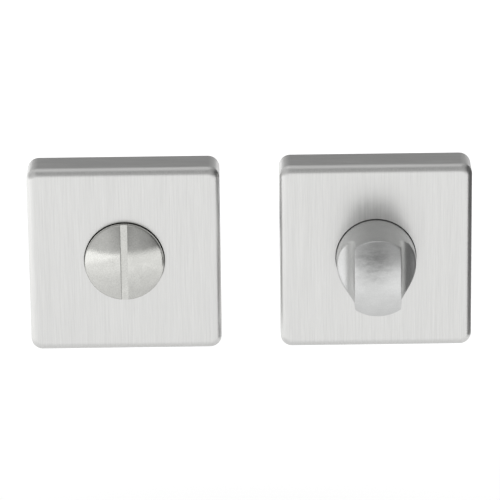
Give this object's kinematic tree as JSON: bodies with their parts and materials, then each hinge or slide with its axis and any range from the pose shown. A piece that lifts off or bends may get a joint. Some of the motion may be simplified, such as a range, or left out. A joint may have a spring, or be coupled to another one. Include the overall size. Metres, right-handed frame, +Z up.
{
  "type": "toilet turn and release set",
  "caption": "Square turn and release set for a toilet door: a scooped thumb turn with its spindle, and a domed button with a coin slot, each on its own rose.",
  "frame": {"origin": "on the turn half's spindle axis, in the plane of the door's face that both bases lie on", "axes": "+Z up, fronts of both halves face -Y, +Y goes into the door, the release half stands towards -X"},
  "size_m": [0.12, 0.0808, 0.052],
  "materials": {
    "satin_sheet": "satin brushed stainless sheet, fine upright grain",
    "satin_solid": "satin bead-blasted stainless steel",
    "moulded_nylon": "moulded black nylon",
    "bearing_plastic": "natural bearing plastic",
    "spring_steel": "oiled dark spring steel",
    "zinc_plated": "bright zinc plating"
  },
  "bodies": {
    "roses": {"turn_cover": "satin_sheet", "release_cover": "satin_sheet", "turn_base": "moulded_nylon", "release_base": "moulded_nylon", "turn_bush": "bearing_plastic", "release_bush": "bearing_plastic", "turn_thrust_washer": "bearing_plastic", "release_thrust_washer": "bearing_plastic", "turn_spring_washer": "spring_steel", "release_spring_washer": "spring_steel", "turn_bolts": "zinc_plated", "release_sleeve_nuts": "zinc_plated", "turn_wood_screws": "zinc_plated", "release_wood_screws": "zinc_plated"},
    "thumb_turn": {"turn_knob": "satin_solid", "turn_spindle": "zinc_plated", "spindle_pin": "spring_steel", "turn_circlip": "spring_steel"},
    "release": {"release_button": "satin_solid", "release_circlip": "spring_steel"}
  },
  "joints": [
    {"name": "knob_turn", "type": "hinge", "parent": "roses", "child": "thumb_turn", "pos_m": [0, 0, 0], "axis": [0, 1, 0], "range_deg": [0, 90]},
    {"name": "release_turn", "type": "hinge", "parent": "roses", "child": "release", "pos_m": [-0.068, 0, 0], "axis": [0, 1, 0], "range_deg": [-90, 0]}
  ],
  "couplings": [
    {"joint": "release_turn", "follows": "knob_turn", "ratio": -1}
  ]
}
